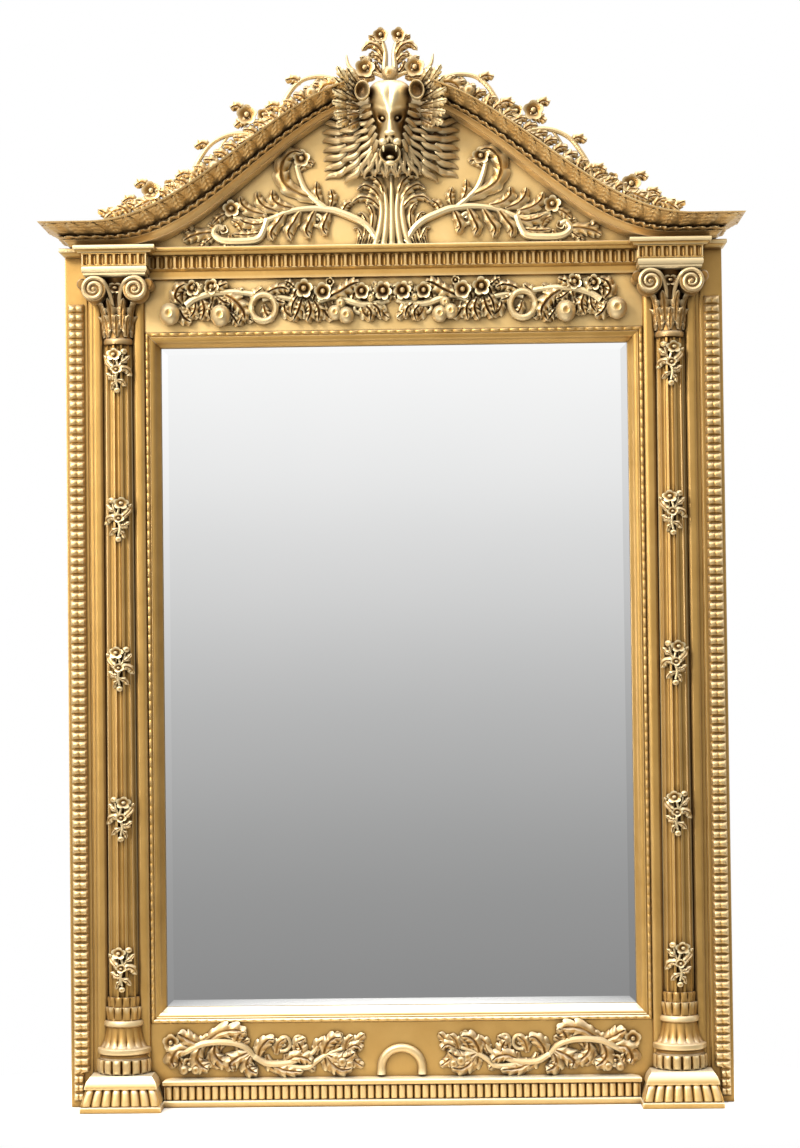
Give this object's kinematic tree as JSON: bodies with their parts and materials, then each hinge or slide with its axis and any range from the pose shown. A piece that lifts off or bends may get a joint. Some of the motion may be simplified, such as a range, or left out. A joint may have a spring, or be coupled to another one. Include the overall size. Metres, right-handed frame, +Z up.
{
  "type": "wall mirror",
  "caption": "Tall carved giltwood wall mirror: bevelled plate between fluted half columns, garland frieze and ogee pediment with a beast's mask.",
  "frame": {"origin": "middle of the top rail's back face, against the wall", "axes": "+Z up, +Y into the wall, +X to the right as seen from the room; the front faces -Y"},
  "size_m": [1.4, 0.1844, 2.1535],
  "materials": {
    "gilding": "satin gilding over gesso on carved wood",
    "bare_wood": "bare pine, sawn",
    "silvering": "polished silvered glass"
  },
  "bodies": {
    "root": {"bottom_rail": "gilding", "top_rail": "gilding", "sight_moulding_bottom": "gilding", "sight_moulding_left": "gilding", "sight_moulding_top": "gilding", "sight_moulding_right": "gilding", "reeded_base_band": "gilding", "fluted_frieze_band": "gilding", "cornice_shelf": "gilding", "tympanum_board": "gilding", "lower_frieze_arch": "gilding", "palmette": "gilding", "beast_mask": "gilding", "crest_spray": "gilding", "left_stile": "gilding", "right_stile": "gilding", "left_ribbed_moulding": "gilding", "right_ribbed_moulding": "gilding", "left_plinth": "gilding", "right_plinth": "gilding", "left_column_base": "gilding", "right_column_base": "gilding", "left_column_shaft": "gilding", "right_column_shaft": "gilding", "left_capital": "gilding", "right_capital": "gilding", "left_entablature_block": "gilding", "right_entablature_block": "gilding", "left_raking_cornice": "gilding", "right_raking_cornice": "gilding", "left_frieze_garland": "gilding", "right_frieze_garland": "gilding", "left_lower_frieze_scroll": "gilding", "right_lower_frieze_scroll": "gilding", "left_tympanum_scroll": "gilding", "right_tympanum_scroll": "gilding", "left_crest_vine": "gilding", "right_crest_vine": "gilding", "left_column_sprig_1": "gilding", "right_column_sprig_1": "gilding", "left_column_sprig_2": "gilding", "right_column_sprig_2": "gilding", "left_column_sprig_3": "gilding", "right_column_sprig_3": "gilding", "left_column_sprig_4": "gilding", "right_column_sprig_4": "gilding", "left_column_sprig_5": "gilding", "right_column_sprig_5": "gilding", "mirror_plate": "silvering", "back_board": "bare_wood"}
  },
  "joints": []
}
